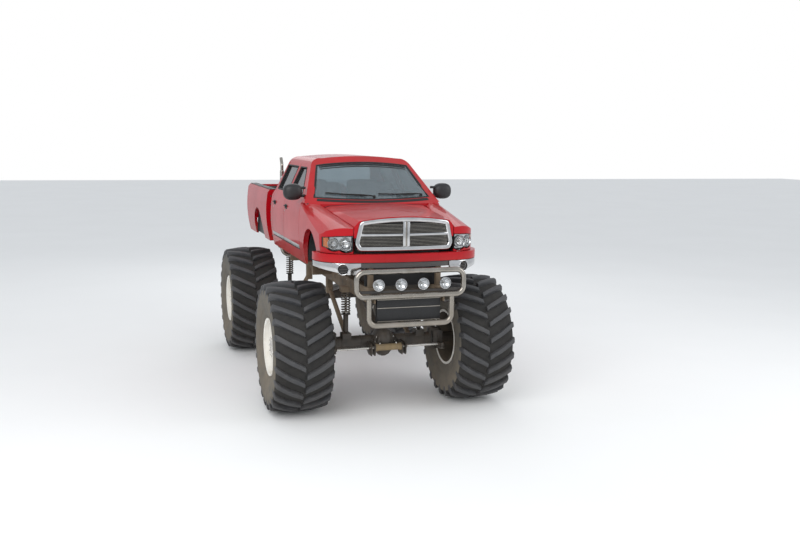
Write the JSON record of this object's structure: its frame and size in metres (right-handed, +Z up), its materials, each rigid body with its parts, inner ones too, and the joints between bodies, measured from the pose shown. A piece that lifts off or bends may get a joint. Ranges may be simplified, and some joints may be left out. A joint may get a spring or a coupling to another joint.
{
  "type": "monster truck",
  "caption": "Pickup-bodied monster truck on a raised ladder frame with tall lugged tyres, opening doors, hood and tailgate, and steering front wheels.",
  "frame": {"origin": "on the ground below the middle of the truck's length", "axes": "+Z up, -Y to the front, +X to the truck's left side"},
  "size_m": [3.12, 6.212, 3.2244],
  "materials": {
    "chassis_paint": "satin, dusty",
    "cast": "dusty",
    "black_plastic": "satin",
    "red_paint": "gloss",
    "glass": "clear",
    "fabric": "woven",
    "lamp": "clear lens",
    "chrome": "polished",
    "stainless": "polished",
    "tail_lens": "gloss",
    "tyre": "matt",
    "rim_paint": "satin"
  },
  "bodies": {
    "chassis": {"frame": "chassis_paint", "crossmembers": "chassis_paint", "engine": "cast", "driveline": "chassis_paint", "front_axle": "chassis_paint", "rear_axle": "chassis_paint", "springs": "black_plastic", "links": "chassis_paint", "cab_shell": "red_paint", "cab_glass": "glass", "dashboard": "black_plastic", "seats": "fabric", "cowl": "red_paint", "fender_left": "red_paint", "fender_right": "red_paint", "headlamps": "lamp", "bumper_cap": "red_paint", "bumper_ends": "chrome", "valance": "black_plastic", "bull_bar": "stainless", "spot_lamps": "lamp", "cooler": "black_plastic", "radiator": "black_plastic", "bed": "red_paint", "tail_lamps": "tail_lens", "rear_bumper": "chassis_paint", "exhaust_stacks": "stainless"},
    "hood": {"hood": "red_paint", "grille": "chrome"},
    "tailgate": {"tailgate": "red_paint"},
    "steering_rod": {"steering_rod": "chrome"},
    "knuckle_left": {"knuckle_left": "chassis_paint"},
    "door_front_left": {"door_front_left": "red_paint", "glass_front_left": "glass", "mirror_left": "black_plastic"},
    "door_rear_left": {"door_rear_left": "red_paint", "glass_rear_left": "glass"},
    "wheel_front_left": {"tyre_front_left": "tyre", "rim_front_left": "rim_paint"},
    "wheel_rear_left": {"tyre_rear_left": "tyre", "rim_rear_left": "rim_paint"},
    "knuckle_right": {"knuckle_right": "chassis_paint"},
    "door_front_right": {"door_front_right": "red_paint", "glass_front_right": "glass", "mirror_right": "black_plastic"},
    "door_rear_right": {"door_rear_right": "red_paint", "glass_rear_right": "glass"},
    "wheel_front_right": {"tyre_front_right": "tyre", "rim_front_right": "rim_paint"},
    "wheel_rear_right": {"tyre_rear_right": "tyre", "rim_rear_right": "rim_paint"}
  },
  "joints": [
    {"name": "steer_left", "type": "hinge", "parent": "chassis", "child": "knuckle_left", "pos_m": [0.752, -1.9305, 0.84], "axis": [0, 0, 1], "range_deg": [-26, 26]},
    {"name": "roll_front_left", "type": "hinge", "parent": "knuckle_left", "child": "wheel_front_left", "pos_m": [1.19, -1.9305, 0.84], "axis": [1, 0, 0], "continuous": true},
    {"name": "roll_rear_left", "type": "hinge", "parent": "chassis", "child": "wheel_rear_left", "pos_m": [1.19, 1.7295, 0.84], "axis": [1, 0, 0], "continuous": true},
    {"name": "open_front_left", "type": "hinge", "parent": "chassis", "child": "door_front_left", "pos_m": [0.991, -1.3025, 2.2], "axis": [0, 0, -1], "range_deg": [0, 65]},
    {"name": "open_rear_left", "type": "hinge", "parent": "chassis", "child": "door_rear_left", "pos_m": [0.991, -0.2325, 2.2], "axis": [0, 0, -1], "range_deg": [0, 65]},
    {"name": "steer_right", "type": "hinge", "parent": "chassis", "child": "knuckle_right", "pos_m": [-0.752, -1.9305, 0.84], "axis": [0, 0, 1], "range_deg": [-26, 26]},
    {"name": "roll_front_right", "type": "hinge", "parent": "knuckle_right", "child": "wheel_front_right", "pos_m": [-1.19, -1.9305, 0.84], "axis": [1, 0, 0], "continuous": true},
    {"name": "roll_rear_right", "type": "hinge", "parent": "chassis", "child": "wheel_rear_right", "pos_m": [-1.19, 1.7295, 0.84], "axis": [1, 0, 0], "continuous": true},
    {"name": "open_front_right", "type": "hinge", "parent": "chassis", "child": "door_front_right", "pos_m": [-0.991, -1.3025, 2.2], "axis": [0, 0, 1], "range_deg": [0, 65]},
    {"name": "open_rear_right", "type": "hinge", "parent": "chassis", "child": "door_rear_right", "pos_m": [-0.991, -0.2325, 2.2], "axis": [0, 0, 1], "range_deg": [0, 65]},
    {"name": "steering_slide", "type": "slide", "parent": "chassis", "child": "steering_rod", "axis": [1, 0, 0], "range_m": [-0.1139, 0.1139]},
    {"name": "hood_lift", "type": "hinge", "parent": "chassis", "child": "hood", "pos_m": [0, -1.6005, 2.6], "axis": [-1, 0, 0], "range_deg": [0, 50]},
    {"name": "tailgate_drop", "type": "hinge", "parent": "chassis", "child": "tailgate", "pos_m": [0, 2.9995, 2.13], "axis": [-1, 0, 0], "range_deg": [0, 90]}
  ],
  "couplings": [
    {"joint": "steer_right", "follows": "steer_left", "ratio": 1},
    {"joint": "steering_slide", "follows": "steer_left", "m_per_rad": 0.25}
  ]
}
